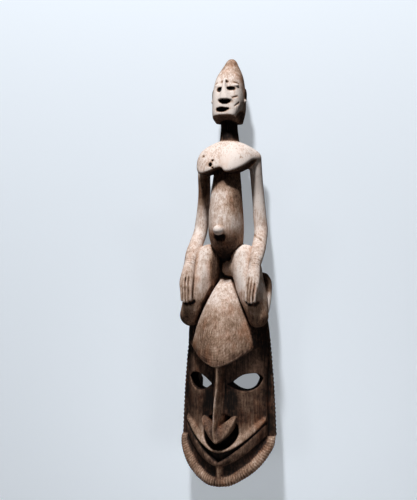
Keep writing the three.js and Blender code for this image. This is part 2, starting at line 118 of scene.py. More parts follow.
slit = both(both(beyond(y, mouth_y), beyond(-y, -lip_y)), mouth_z - 9 - z, 2)
side_x = 85 - 0.04 * (y - 90) + (2 + 0.04 * (y - 90)) * share_of(z, BACK, 10)
slant = (90 - rim_y) / (rim_z - BACK)


def above(z, height):
    """Distance off a surface given as a height over x and y: the difference, over the slope's length."""
    slope_x, slope_y = np.gradient(height[..., 0], STEP)
    return (z - height) / np.sqrt(1 + slope_x ** 2 + slope_y ** 2)[..., None]


face = both(above(z, lips), beyond(-y, -chin_y), 1.5)
face = either(face, above(z, under_chin), 2)
face = both(face, -slit, 1)
face = both(face, a - side_x, 2)
face = both(face, (rim_y + slant * (rim_z - z) - y) / np.sqrt(1 + slant ** 2), 2)
face = both(face, both(BACK - z, y - 300), 1.5)
# The face is the mask's smoked brown, with painted light on the upper lip's upward face and painted shade in
# the hollows beside the nose. It is darker towards the outer edges, darker on the lower lip, and darker still
# on the chin step below it.
painted_light_on_lip = share_of(y, mouth_y - 4, mouth_y + 5) * share_of(y, top_y + 8, top_y - 4)
painted_shade_beside_nose = share_of(a, 40, 28) * share_of(y, 132, 145) * share_of(y, 262, 190)
smoked_and_painted_shading = 0.32 + 0.28 * painted_light_on_lip - 0.3 * painted_shade_beside_nose - 0.2 * share_of(a, 70, 84)
smoked_and_painted_shading = np.where(y < mouth_y - 3, np.where(y > chin_y - 1.5, 0.27, 0.13), smoked_and_painted_shading)


def leave(part, distance, colour, soft=0.001):
    """Leaves a form standing. Its colour goes from 0, as dark as smoked wood and painted shade, to 1, as pale
    as worn wood and painted light.
    """
    shade[part] = np.where(distance < wood[part], colour, shade[part])
    wood[part] = either(wood[part], distance, soft)


# The mouth slit is painted near black: painted shade.
leave(part, face, np.where(slit < 1.2, 0.02, smoked_and_painted_shading))

# The round hollow under the nose, scooped through the upper lip down to the plane of the cheeks, painted dark
# as the shadow of the nose's wings.
# It leaves the arrow of the nose standing free over it.
HOLLOW_Y = 113
HOLLOW_RADIUS = 37


def carve(part, distance, colour, soft=0.001):
    """Cuts a form away, and gives the cut its own colour."""
    shade[part] = np.where(-distance > wood[part], colour, shade[part])
    wood[part] = both(wood[part], -distance, soft)


part, x, y, z = region((-45, 70, 20), (45, 158, 118))
floor_z = cheek(np.abs(x), y) - 0.5
ring = np.hypot(x, y - HOLLOW_Y) - HOLLOW_RADIUS * (0.9 + 0.1 * np.clip((z - floor_z) / 12, 0, 1.2))
carve(part, both(ring, floor_z - z, 6), mix(0.04, 0.12, share_of(y, 112, 152)), 1)

# The forehead: a fan-shaped boss, its lower edge a wide curve that overhangs the eyes, its top running
# up between the figure's thighs. Flat planes fall away beside it to the edges of the mask, painted dark
# as shade.
BROW_Y = 249
FAN_TOP = 429
FAN_FOOT = 67
FAN_TIP = 10
FLANK_FOOT = 91
ARC_SPACING = 5.2


def fan_side(rise):
    """Half the fan's width at a share of its height: a line from foot to tip, bowed out by a parabola."""
    return mix(FAN_FOOT, FAN_TIP, rise) + 28 * rise * (1 - rise)


def fan_rim(rise):
    """How far forward the fan's edge stands: by the root of one less the cubed share of its height."""
    return 26 + 32 * np.sqrt(1 - rise ** 3)


part, x, y, z = region((-96, 232, -48), (96, 440, 114))
a = np.abs(x)
rise = share_of(y, 268, FAN_TOP) + 0 * a
for _ in range(14):
    fan_x = fan_side(rise)
    fan_share = np.minimum(a / fan_x, 1)
    flank_x = FLANK_FOOT - 59 * rise ** 2
    flank_share = share_of(a, fan_x, flank_x)
    rise = share_of(y, BROW_Y + 39 * fan_share ** 1.6 + 14 * flank_share, FAN_TOP + 7 * flank_share)
fan_middle = 30 + 79 * (1 - rise ** 1.7) ** 0.75
fan_edge = fan_rim(rise)
flank_edge = mix(2, -15, rise) + 50 * rise * (1 - rise)
flank_side = a - mix(0.84 * flank_x, flank_x, share_of(z, BACK, 10))
brow_y = BROW_Y + 39 * np.minimum(a / FAN_FOOT, 1) ** 1.6 + 14 * share_of(a, FAN_FOOT, FLANK_FOOT)
limits = both(BACK - z, beyond(-y, -brow_y) - 12 * share_of(z, 60, BACK))
limits = both(limits, y - FAN_TOP - 7 * share_of(a, 10, 32), 1.5)
flank = both(above(z, mix(fan_edge - 5, flank_edge, flank_share ** 1.5)), flank_side, 3)
fan = both(above(z, mix(fan_middle, fan_edge, fan_share ** 1.75)), (a - fan_x) * 0.93, 2)
fan = both(fan, limits, 2)
from_brow = y - brow_y
arc_radius = np.hypot(x + 10 + 4 * np.sin(y / 9), y - 322)
knife_arcs = np.sin(2 * np.pi * arc_radius / ARC_SPACING) * share_of(y, 350, 325)
fan_colour = mix(0.47, 0.62, share_of(y, 262, 340)) + 0.28 * share_of(y, 335, 400)
fan_colour = fan_colour + 0.22 * (from_brow < 2.6) - 0.2 * share_of(from_brow, 16, 3)
fan_colour = fan_colour - 0.07 * knife_arcs + 0 * fan
fan = fan + 0.35 * knife_arcs
fan_part = part
# Painted shade on the flat planes beside the fan.
leave(part, both(flank, limits, 2), 0.13, 1.5)
leave(part, fan, fan_colour, 1)

# The nose: a long ridge with a sharp crest and two flat planes, that ends in an arrowhead of two
# up-swept wings. Crest and wings reach as far forward as the brow.
part, x, y, z = region((-42, 84, 20), (42, 262, 118))
a = np.abs(x + 1)


def smooth_path(stations, steps):
    """A curve through the stations, all their numbers blended alike by the Catmull-Rom rule."""
    p = np.array(stations, float)
    p = np.vstack([2 * p[0] - p[1], p, 2 * p[-1] - p[-2]])
    t = np.linspace(0, 1, steps, endpoint=False)[:, None]
    spans = [
        b + ((c - a) * t + (2 * a - 5 * b + 4 * c - d) * t ** 2 + (3 * b - a - 3 * c + d) * t ** 3) / 2
        for a, b, c, d in zip(p, p[1:], p[2:], p[3:])
    ]
    return np.vstack([*spans, p[-2:-1]])


def ridge(a, z, half_width, drop, top_half, top):
    """Distance off a ridge: a narrow flat top, planes down to its shoulders, and steep sides."""
    fall = half_width - top_half
    plane = ((a - top_half) * drop + (z - top) * fall) / np.hypot(drop, fall)
    side = a - half_width - 0.024 * np.maximum(top - drop - z, 0)
    return np.maximum(np.maximum(plane, side), z - top)


rows = smooth_path([
    [92, -1.8, 2.5], [100, -4, 4.5], [112, -7, 7.5], [133, -6.5, 11], [153, -5.5, 13.5], [174, -3.5, 15.5],
    [194, 0, 17], [220, 2, 17], [258, 2, 14.5],
], 4)
crest, half = (np.interp(y, rows[:, 0], rows[:, k]) for k in (1, 2))
offset = np.where(x > crest, (x - crest) / (half - crest), (crest - x) / np.maximum(half + crest, 4)) * half
nose = both(ridge(offset, z, half, 40, 1.2, 106), 93 - y, 1)
wing_low = 90 + 0.45 * a + 0.0195 * a ** 2
wing_high = 121 + 0.82 * a
wing_end = np.clip((a - 24) / 13, 0, 1)
wing_height = (wing_high - wing_low) * np.sqrt(1 - wing_end ** 2)
wing_middle = (wing_low + wing_high) / 2
outline = np.abs(y - wing_middle) - wing_height / 2
outline = outline / np.sqrt(sum(g ** 2 for g in np.gradient(outline[..., 0], STEP)) + 0.01)[..., None]
up = np.clip((y - wing_middle) / np.maximum(wing_height, 4) + 0.5, 0, 1)
wing_z = 106 - 0.45 * a - 3 * wing_end ** 2 + 3 * np.sin(np.pi * up) - 14 * up ** 1.3
wings = both(both(outline, a - 37, 3), both((z - wing_z) * 0.9, 40 - z), 2)
leave(part, nose, 0.36 + 0 * nose + 0.14 * share_of(z, 98, 106), 1.5)
# The wing on the figure's right is painted darker than the other: painted shade.
leave(part, wings, np.where(x < 0, 0.32, 0.42), 1.5)

# The chin ridge, a short upright bar between lower lip and beard, and the beard itself: a roll along
# the lower rim, notched across all the way round. The notches point to one centre under the nose.
NOTCH_CENTRE_Y = 118
NOTCH_SPACING = 5.9
part, x, y, z = region((-12, -2, 50), (12, 52, 100))
bar = ridge(np.abs(x - 1), z, 8, 10, 2.0, np.interp(y, [3, 20, 46], [88, 90.5, 92]))
leave(part, both(both(bar, y - 46, 2), 76 - z, 2), 0.42, 2)


def limb(stations, power=2.0, steps=7):
    """A rounded length of wood along a path of x, y, z, half width and half depth. Round each piece of the
    path: the offsets over the half sizes, raised to the power and summed, the root of that over its slope."""
    path = smooth_path(stations, steps).astype(np.float32)
    widest = path[:, 3:].max()
    low, high = path[:, :3].min(0) - widest - 8, path[:, :3].max(0) + widest + 8
    part = region(low, high)[0]
    shape = np.full([cut.stop - cut.start for cut in part], FAR, np.float32)
    run = np.gradient(path[:, :3], axis=0)
    run /= np.linalg.norm(run, axis=1, keepdims=True)
    wide = np.array([1, 0, 0], np.float32) - run * run[:, :1]
    wide /= np.linalg.norm(wide, axis=1, keepdims=True)
    deep = np.cross(wide, run)
    room = path[:, 3:4] * np.abs(wide) + path[:, 4:5] * np.abs(deep) + 7
    room[[0, -1]] += path[[0, -1], 3:].min(1)[:, None]
    for k in range(len(path) - 1):
        ends, reach = path[k:k + 2, :3], room[k:k + 2].max(0)
        near, x, y, z = region(np.maximum(ends.min(0) - reach, low), np.minimum(ends.max(0) + reach, high))
        length = np.linalg.norm(ends[1] - ends[0])
        along = (ends[1] - ends[0]) / length
        travel = sum((v - c) * d for v, c, d in zip((x, y, z), ends[0], along))
        t = np.clip(travel / length, 0, 1)
        offset = [v - c - t * length * d for v, c, d in zip((x, y, z), ends[0], along)]
        width, depth = mix(path[k, 3], path[k + 1, 3], t), mix(path[k, 4], path[k + 1, 4], t)
        cap = np.minimum(width, depth)
        u, v = (np.abs(sum(o * mix(a, b, t) for o, a, b in zip(offset, *axes))) / half
                for axes, half in ((wide[k:k + 2], width), (deep[k:k + 2], depth)))
        e = np.abs(travel - t * length) / cap
        value = np.maximum(u ** power + v ** power + e ** power, 1e-6) ** (1 / power)
        slope = sum((q ** (power - 1) / half) ** 2 for q, half in ((u, width), (v, depth), (e, cap)))
        here = tuple(slice(n.start - p.start, n.stop - p.start) for n, p in zip(near, part))
        distance = (value - 1) * value ** (power - 1) / np.maximum(np.sqrt(slope), 1e-3)
        shape[here] = np.minimum(shape[here], distance)
    return part, shape


def mirrored(stations):
    """The same stations on the other side of the middle."""
    return [[-station[0], *station[1:]] for station in stations]


half_roll = [
    [20, 10, 79.5, 10, 10], [40, 20, 69, 10.5, 10.5], [60, 34.5, 54.5, 11, 11], [75, 50.5, 41.5, 11, 11],
    [85, 66, 29.5, 11, 10.5], [92, 82, 18, 10.5, 9.5], [94, 98, 8, 9.5, 8.5],
]
roll = mirrored(half_roll[::-1]) + [[0, 8, 83, 9.5, 9.5]] + half_roll
part, beard = limb(roll)
x, y, z = places(part)
path = smooth_path(roll, 6)
turn = np.arctan2(path[:, 0], NOTCH_CENTRE_Y - path[:, 1])
arc = np.concatenate([[0], np.cumsum(np.linalg.norm(np.diff(path[:, :3], axis=0), axis=1))])
notch = np.sin(2 * np.pi * np.interp(np.arctan2(x, NOTCH_CENTRE_Y - y), turn, arc) / NOTCH_SPACING)
# The beard's half on the figure's right is painted a little darker: painted shade.
leave(part, both(beard + 1.1 * notch, y - 97, 2), 0.5 - 0.06 * (x < 0) - 0.12 * notch, 1.5)

# The flanges, thin wings of wood that stand out beside the face, their edges cut into small scallops.
# On the real mask they take the wearer's ties.
FLANGE_FOOT = 97
FLANGE_TOP = 306
SCALLOP_WIDTH = 9
for side in (-1, 1):
    near, far = sorted((76 * side, 112 * side))
    part, x, y, z = region((near, 90, -10), (far, 312, 16))
    climb = y - FLANGE_FOOT
    scallop = np.abs(np.sin(np.pi * climb / SCALLOP_WIDTH)) ** 0.7
    edge_x = 103.3 - 0.03 * climb - 0.00018 * climb ** 2 - 2.4 * (1 - scallop)
    edge = both(side * x - edge_x, np.maximum(-climb, y - FLANGE_TOP), 1)
    leave(part, both(edge, np.abs(z - 3) - 6, 1.5), 0.12, 1)

# The inside. From behind, the mask is hollowed to an even wall for the wearer's face, rising to a vault
# under the brow. The eyes are cut through as almonds, bevelled towards a smaller hole, with a raised lid.
WALL = 15
part, x, y, z = region((-90, -9, -53), (90, 345, 100))
a = np.abs(x)
lip_wall = 14 + 68 * (1 - np.minimum(a / 90, 1) ** 1.7)
brow = 257 + 39 * np.minimum(a / FAN_FOOT, 1) ** 1.6
vault = share_of(y, brow, brow + 34)
ceiling = mix(lip_wall, cheek(a, y), share_of(y, 60, 110)) - WALL + 34 * vault ** 2 * (3 - 2 * vault)
hollow = both(above(z, ceiling), a - 77 + 0.035 * np.maximum(y - 90, 0), 34)
hollow = both(hollow, (y - 338) * 0.95 + 0.15 * (z - BACK), 60)
carve(part, hollow, 0.10)

EYE_INNER = 16
EYE_OUTER = 80.5
EYE_Y = 213
part, x, y, z = region((-86, 188, -53), (86, 238, 100))
a = np.abs(x)
lid_over = smooth_path([[EYE_INNER, 212], [36, 226], [55, 232], [71, 230.5], [EYE_OUTER, 221]], 8)
lid_under = smooth_path([[EYE_INNER, 212], [36, 199.5], [54, 196], [71, 203.5], [EYE_OUTER, 221]], 8)


def almond(a, y, length, height):
    """Distance off the eye's outline, made smaller towards its inner corner."""
    across = EYE_INNER + (a - EYE_INNER) / length
    over = EYE_Y + (np.interp(across, *lid_over.T) - EYE_Y) * height
    under = EYE_Y + (np.interp(across, *lid_under.T) - EYE_Y) * height
    ends = np.maximum(EYE_INNER - across, across - EYE_OUTER)
    return both(both(beyond(y, over), beyond(-y, -under)), ends, 2)


eye_z = cheek(a, y)
bevel = share_of(z, eye_z, eye_z - 9) * (1 - 0.75 * share_of(z, eye_z - 14, eye_z - 45))
for side in (-1, 1):
    lid = [[side * (k + 1), h + 3.5, cheek(k, h + 3.5) + 0.5, 3.2, 2.6] for k, h in lid_over[::4]]
    leave(*limb(lid), 0.4, 2)
eye_hole = mix(almond(a, y, 1.0, 1.0), almond(a, y, 0.82, 0.93), bevel) * 0.9
# The front of the bevel is painted dark as the shade under the brow; the wall further in keeps a mid tone.
carve(part, eye_hole, np.where(z < eye_z - 14, 0.4, 0.10), 1)

# The seat and the folded legs. The figure sits on the forehead with its thighs apart, the knees
# hanging down on both sides of the fan, shins and feet tucked back up behind them.
seat = [[0, 395, -8, 46, 34], [0, 430, -6, 42, 35], [0, 462, 0, 40, 30], [0, 486, 6, 34, 24]]
# The seat is painted dark as shade, where it shows between the thighs.
leave(*limb(seat, 3.0), 0.12, 4)
thigh = [
    [39, 472, 18, 29, 36], [44, 448, 24, 31, 40], [52, 418, 30, 30, 42], [61, 385, 36, 29, 39],
    [73, 352, 44, 23, 26],
]
shin = [
    [79, 350, 32, 10, 10], [83.5, 368, 20, 9, 9.5], [84.5, 398, 5, 8.8, 10], [81.5, 421, -6, 8.5, 10],
    [74, 432, -13, 8.5, 9],
]
foot = [[70, 433, -15, 8.5, 9], [58, 431, -20, 11, 10], [46, 428, -23, 9, 9]]
for on_side, side, paler, inner_painted_shade in ((mirrored, -1, 0.55, 0.55), (list, 1, 0.6, 0.1)):
    part, leg = limb(on_side(thigh))
    x, y, z = places(part)
    # Painted shade: the knees darker than the thighs, and a darker strip along the inner edge by the fan,
    # strongest on the figure's right.
    inner = share_of(side * x, 31, 23) * share_of(y, 400, 425)
    leave(part, leg, 0.32 + paler * share_of(y, 345, 415) - inner_painted_shade * inner + 0 * leg, 2)
    part, calf = limb(on_side(shin))
    # The calf is painted darker at its top end, as the shadow of the hand over it.
    leave(part, calf, 1.0 - 0.7 * share_of(places(part)[1], 388, 412) + 0 * calf, 0.5)
    leave(*limb(on_side(foot)), 0.4, 2)

# The grooves beside the fan, cut deep between it and the thighs, so that the fan stands free of them
# with a sharp edge. The one on the figure's right side is the wider. The fan's skin is then made good.
rise = np.array([0.16, 0.3, 0.45, 0.6, 0.75, 0.88, 0.97])
for side, gap in ((-1, 3.6), (1, 3.2)):
    groove_x = side * (fan_side(rise) + gap - 1)
    size = 0 * rise + gap
    groove = np.stack([groove_x, mix(288, FAN_TOP, rise), fan_rim(rise) + 4, size, size + 5], 1)
    part, cut = limb(groove.tolist())
    # The grooves are painted dark as the shade in them.
    carve(part, cut, 0.22, 5)
skin = np.maximum(-fan - 9, fan_edge - 14 - places(fan_part)[2])
leave(fan_part, np.maximum(fan, skin), fan_colour, 0.5)

# The torso, a long flat-sided trunk that swells into a belly, with the knob of the navel on it. It is
# painted dark as shade where it runs in between the thighs, under the chest and down the front of its
# flank on the figure's left, and its wood is rubbed pale on the belly.
part, trunk = limb([
    [0, 430, 4, 26, 20], [0, 462, 6, 27, 24], [0, 490, 13, 30, 30], [0.5, 512, 23, 34.5, 41],
    [0.5, 532, 29, 36.3, 50], [0.5, 556, 30, 36.2, 46], [0, 585, 28, 34.5, 38], [-0.5, 620, 23, 31.5, 31],
    [-1, 655, 17, 28, 25], [0, 690, 12, 26, 20],
])
x, y, z = places(part)
painted_shade_on_flank = share_of(x, 8, 25) * share_of(y, 545, 600) * share_of(y, 640, 606)
painted_shade_on_trunk = 0.5 * share_of(y, 606, 640) + 0.42 * painted_shade_on_flank
leave(part, trunk, mix(0.12, 0.86, share_of(y, 485, 540)) - painted_shade_on_trunk * share_of(z, -4, 18) + 0 * trunk, 1)


def lump(x, y, z, centre, radii):
    """Distance off an egg: how far out in its own radii, over how fast that grows."""
    offsets = [(v - c) / r for v, c, r in zip((x, y, z), centre, radii)]
    out = np.sqrt(sum(o ** 2 for o in offsets))
    growth = np.sqrt(sum((o / r) ** 2 for o, r in zip(offsets, radii)))
    return out * (out - 1) / np.maximum(growth, 1e-3)


part, x, y, z = region((-24, 426, 6), (24, 556, 104))
# A hollow under the navel, painted dark as its shadow.
carve(part, lump(x, y, z, (-2, 516, 78), (16, 9, 9)), 0.12, 6)
leave(part, lump(x, y, z, (-1.5, 532, 82), (11, 10.5, 13)), 0.86, 2)
leave(part, lump(x, y, z, (8, 452, 28), (15, 15, 14)), 0.7, 10)

# The chest: a shelf of two breasts, wide as the shoulders, almost flat on top and cut off below.
part, x, y, z = region((-82, 640, -32), (82, 736, 86))
levels = smooth_path([
    [640, 63.5, 60, 27, 1], [655, 63.5, 58.5, 27, 1], [670, 63.5, 55, 27, 0.8], [682, 62.5, 50, 28, 0.4],
    [694, 58, 43, 27.5, 0.15], [704, 50, 35, 26, 0], [712, 36, 27, 23, 0], [718, 21, 20, 19, 0],
    [724, 3, 3, 3, 0],
], 6)
width, front, back, cleft = (np.interp(y - 0.05 * x, levels[:, 0], levels[:, k]) for k in (1, 2, 3, 4))
reach = np.where(z > 14, front - 3.5 * cleft * np.exp(-((x + 2.5) / 7) ** 2), back)
power = np.where(x < 0, 3.2, 1.9)
form = ((np.abs(x) / width) ** power + (np.abs(z - 14) / reach) ** power) ** (1 / power)
form = (form - 1) * np.minimum(width, front)


def evened(form):
    """A form over the length of its own slope, which makes it a distance near its surface."""
    return form / np.maximum(np.sqrt(sum(g ** 2 for g in np.gradient(form, STEP))), 0.2)


below = smooth_path([
    [-66, 662], [-55, 652], [-42, 649], [-24, 654], [-4, 661],
    [8, 653], [22, 654], [42, 663], [57, 675], [66, 684],
], 6)
underside = beyond(-y, -np.interp(x, *below.T))
breasts = both(evened(form), underside, 8)
# The underside is painted dark as shade, and the breast on the figure's left is painted a little lighter:
# painted light.
leave(part, breasts, np.where(underside > form, 0.25, 0.93 + 0.09 * share_of(x, -10, 20)), 2)

# The arms hang free of the trunk and bend forward at the elbow; the hands lie flat on the thighs. Each
# wrist has four rings cut round it, and each hand four long fingers.
RING_SPACING = 5.6
FINGER_SPACING = 6.3
for on_side, side, shoulder_y, painted_shading_under_chest in ((mirrored, -1, 677, 0.55), (list, 1, 684, -0.12)):
    part, arm = limb(on_side([
        [57, shoulder_y, 5, 12.8, 13], [57.5, 655, 0, 13.2, 13], [60, 603, -9, 13, 13],
        [64.3, 553, -9, 14.2, 13.5], [67.3, 526, -4, 14.4, 15], [69.7, 502, 17, 14.8, 14],
        [71, 482, 39, 14.6, 13], [70.8, 460, 58, 12.3, 11.5], [71.5, 438, 72, 14, 11],
        [72, 422, 80, 14.4, 9], [70.5, 404, 84.5, 13, 7],
    ]))
    x, y, z = places(part)
    along = (y - 462) * -0.76 + (z - 56) * 0.65
    at_wrist = share_of(np.abs(along - 0.5), 13, 11) * (y < 490) * (z > 20)
    rings = np.cos(2 * np.pi * along / RING_SPACING) * at_wrist
    # Painted light and shade: the chest's shadow is painted on the front of the figure's right upper arm, the
    # left one is painted a little lighter there, and the figure's right hand is painted darker than the left.
    hand_dark = 0.14 - 0.06 * side
    under_chest = share_of(y, 560, 600) * share_of(y, 650, 640) * share_of(z, -10, 4)
    arm_colour = 0.94 - 0.08 * share_of(y, 560, 490) - hand_dark * share_of(y, 455, 425) - 0.14 * rings
    arm_colour = arm_colour - painted_shading_under_chest * under_chest
    leave(part, arm - 1.7 * rings, arm_colour, mix(16, 1.5, share_of(y, 690, 640)))
    for k, tip in enumerate((387, 384, 383.5, 386)):
        spread = (k - 1.5) * FINGER_SPACING
        dip = 0.045 * spread ** 2
        finger = [
            [71.7 + spread, 434, 80 - dip, 3.5, 4.5], [71.5 + spread, 420, 87.5 - dip, 3.5, 4.2],
            [70 + spread * 0.97, 403, 91 - dip, 3.5, 4], [69.3 + spread * 0.93, tip, 92 - dip, 3.2, 4],
        ]
        # The fingers on the figure's right are painted darker: painted shade.
        leave(*limb(on_side(finger)), 0.7 + 0.08 * side, 0.5)
        if k:
            gap = [[x - FINGER_SPACING / 2, y, z + 2, 0.7, 2.6] for x, y, z, *_ in finger]
            carve(*limb(on_side(gap)), 0.3, 1)
    # Painted shadows of the fingertips on the knees.
    fingertip_shadows = [[57, 383, 74, 3, 5], [65, 378, 77, 3.5, 6], [74, 378, 75, 3.5, 6], [83, 384, 68, 3, 5]]
    carve(*limb(on_side(fingertip_shadows)), 0.06, 1)
elbow_crease = [[56, 521, 8, 1, 1.4], [64, 519, 21, 1, 1.4], [73, 513, 24, 1, 1.4], [80, 504, 24, 1, 1.4]]
carve(*limb(elbow_crease), 0.62, 2)

# The neck, a plain post that the chin overshadows. Down to the top of the chest it is painted near black
# as the chin's shadow, and below that the wood is pale again.
part, neck = limb([
    [2, 700, 10, 22, 21], [2, 722, 10, 20.5, 20], [1.2, 745, 9, 18, 18], [0.5, 772, 9, 17.8, 17.8],
])
leave(part, neck, mix(0.75, 0.07, share_of(places(part)[1], 714, 728)) + 0 * neck, 2)

# The head: a tall skull that tapers to a blunt point, cut off flat under the jaw. Its face is nearly
# a plane, with a wedge of a nose, small ears, and eyes, nostrils and mouth cut in as slots painted near
# black as shade. Each eye has a lid left standing over it and a crease cut along the brow, painted as a
# thin line of shadow.
part, x, y, z = region((-48, 745, -42), (48, 902, 66))
levels = smooth_path([
    [740, 1.5, 9, 29, 40, 2.9], [762, 1.5, 9, 31, 43, 2.9], [779, 1.5, 9, 32.8, 43, 2.9],
    [800, 1.2, 9, 33.3, 41, 2.7], [818, 1, 8, 33, 38.5, 2.6], [840, 1, 6, 31, 34, 2.4],
    [857, 1.5, 3, 26.8, 29.5, 2.2], [869, 2, 0, 21.5, 23.5, 2], [880, 2.5, -2, 15.5, 17, 2],
    [888, 3, -3, 11.5, 12.5, 2], [894, 3, -3, 6.5, 7, 2], [899, 3, -3, 2, 2, 2],
], 6)
skull_x, skull_z, width, depth, power = (np.interp(y, levels[:, 0], levels[:, k]) for k in range(1, 6))
form = (np.abs((x - skull_x) / width) ** power + np.abs((z - skull_z) / depth) ** power) ** (1 / power)
jaw = (757 + 0.36 * np.maximum(z - 8, 0) - y) * 0.94
corner = (x - 36.5) * 0.9 - (y - 794) * 0.38 + 0.04 * (z - 25)
skull = both(both(evened((form - 1) * np.minimum(width, depth)), corner, 8), np.maximum(y - 895, jaw), 3)
# Painted shade: the skull is darker above the brow than on the face, and the jaw's underside and the bevelled
# corner of its side are dark. It is also darker towards the back.
skull_colour = 0.87 + 0.17 * share_of(y, 855, 825) - 0.3 * share_of(z, 26, 8)
leave(part, skull, np.where(np.maximum(jaw, corner) > skull - 1, 0.3, skull_colour), 1)
# Each ear is painted dark as shade, with a painted highlight on its lobe.
for side in (-1, 1):
    leave(part, lump(x, y, z, (side * 33.5, 816, 3), (4.5, 16, 8)), 0.12, 1)
    leave(part, lump(x, y, z, (side * 35, 804, 8), (4, 4.5, 4.5)), 0.95, 1)
    carve(part, lump(x, y, z, (side * 13 + 1.5, 828, 54), (13, 8, 11)), 0.9, 4)
nose_x, nose_w, nose_z = (np.interp(y, [803, 808, 817, 834, 850], v) for v in (
    [2.5, 2.5, 2, 0.5, 0.5], [15.5, 15, 12, 6, 4.5], [58, 58, 56, 51, 44]))
wedge = ridge(np.abs(x - nose_x), z, nose_w, 9, nose_w * 0.35, nose_z)
leave(part, both(both(wedge, y - 850, 2), np.maximum(804 + 0.25 * (z - 48) - y, 24 - z), 1), 1.02, 2)
for centre, radii, colour in (
    ((2.5, 802, 49.5), (12.5, 5, 7), 0.04),     # under the nose
    ((-10.2, 827, 44), (7, 5, 7), 0.03),        # right eye
    ((15.5, 829, 42.5), (10.5, 3.6, 7), 0.03),  # left eye
    ((-3.5, 784.3, 48), (12.5, 5, 7), 0.04),    # mouth
    ((6, 785.5, 46), (8, 3, 6), 0.04),          # its left corner
):
    carve(part, lump(x, y, z, centre, radii), colour, 1)
for centre, radii in (((-13, 834.5, 34), (9, 5, 6)), ((17, 836, 33), (12, 4.5, 6))):
    leave(part, lump(x, y, z, centre, radii), 1.0, 2)
for crease in (
    [[-5, 843, 42, 2, 2], [-12, 844.5, 40, 1.8, 2], [-21, 839, 33.5, 1.5, 1.5]],
    [[6, 843.5, 42, 2, 2], [15, 844.5, 39, 1.8, 2], [27, 839, 28, 1.5, 1.5]],
):
    carve(*limb(crease), 0.45, 1)
# Painted shade in the dents at the creases' inner ends.
for crease_end in (-6.5, 5.8):
    carve(part, lump(x, y, z, (crease_end, 844.5, 42), (2.6, 3.6, 5)), 0.12, 1)

# Wear. A piece is broken out of the right breast, worms have left a few holes in the chest, and two short
# scars are cut in the figure's left cheek.
# The break and the holes are painted near black as shade.
for centre, radii in (
    ((-23, 668, 64), (3.8, 4.5, 8)), ((-18, 662, 64), (2.6, 2.0, 6)), ((-19, 677, 62), (2.4, 1.8, 6)),
    ((-3, 657, 60), (4, 3.5, 8)), ((39, 684, 56), (1.7, 1.7, 5)), ((-41, 686, 55), (1.6, 1.2, 4)),
):
    part, x, y, z = region(np.array(centre) - 14, np.array(centre) + 14)
    carve(part, lump(x, y, z, centre, radii), 0.05, 1)
for scar in (
    [[18, 809, 44.5, 1.2, 1.6], [27, 812, 37, 1.2, 1.6]],
    [[23, 791, 45, 1.2, 1.6], [30, 799, 35, 1.2, 1.6]],
):
    carve(*limb(scar), 0.75, 0.5)

# The surface. Where the block's distances pass through zero they are skinned with small four-sided
# faces. Last comes a waviness of a few tenths of a mm, as knife cuts leave it, in 48 crossing waves,
# most of them some 40 mm long across the grain and 90 mm along it.
WAVES = 48
TRIANGLES = 190000
for axis in range(3):
    turned = np.moveaxis(wood, axis, 0)
    turned[1:-1] = (turned[:-2] + 2 * turned[1:-1] + turned[2:]) / 4


def averaged(field, cells):
    """Each value averaged with its neighbours out to that many cells, along each axis in turn."""
    for axis in range(3):
        turned = np.moveaxis(field, axis, 0)
        padded = np.concatenate([turned[:1]] * (cells + 1) + [turned] + [turned[-1:]] * cells)
        total = np.cumsum(padded, axis=0, dtype=np.float32)
        field = np.moveaxis((total[2 * cells + 1:] - total[:-2 * cells - 1]) / (2 * cells + 1), 0, axis)
    return field


def skinned(field):
    """The zero surface of a block of distances: one point in each cell that it crosses, the mean of the
    crossings on the cell's edges, and one face round each crossed edge, turned away from the wood."""
    solid = field < 0
    cells = np.array(field.shape) - 1
    corners = np.stack(np.meshgrid([0, 1], [0, 1], [0, 1], indexing="ij"), -1).reshape(-1, 3)
    count = sum(solid[i:cells[0] + i, j:cells[1] + j, k:cells[2] + k].astype(np.uint8) for i, j, k in corners)
    cell = np.argwhere((count > 0) & (count < 8))
    number = np.full(cells, -1, np.int32)
    number[tuple(cell.T)] = np.arange(len(cell))
    value = {tuple(c): field[tuple((cell + c).T)] for c in corners}
    total = np.zeros((len(cell), 3))
    hits = np.zeros((len(cell), 1))
    for corner in corners:
        for axis in np.flatnonzero(corner == 0):
            step = np.eye(3, dtype=int)[axis]
            here, there = value[tuple(corner)], value[tuple(corner + step)]
            crossed = ((here < 0) != (there < 0))[:, None]
            share = (here / np.where(here == there, 1, here - there))[:, None]
            total += np.where(crossed, corner + share * step, 0)
            hits += crossed
    faces = []
    for axis in range(3):
        ahead, aside = np.eye(3, dtype=int)[[(axis + 1) % 3, (axis + 2) % 3]]
        turned = np.moveaxis(solid, axis, 0)
        crossing = np.zeros_like(turned)
        crossing[:-1] = turned[:-1] != turned[1:]
        edge = np.argwhere(np.moveaxis(crossing, 0, axis))
        around = [edge, edge - ahead, edge - ahead - aside, edge - aside]
        quad = np.stack([number[tuple(c.T)] for c in around], 1)
        outward = solid[tuple(edge.T)]
        faces.append(np.where(outward[:, None], quad, quad[:, ::-1]))
    return cell + total / hits, np.concatenate(faces)


def read(field, at):
    """The value of a block at points between its own, in proportion to how near each neighbour is."""
    low = np.minimum(at.astype(int), np.array(field.shape) - 2)
    share = at - low
    result = 0
    for corner in np.ndindex(2, 2, 2):
        weight = np.prod(np.where(corner, share, 1 - share), axis=1)
        result = result + weight * field[tuple((low + corner).T)]
    return result


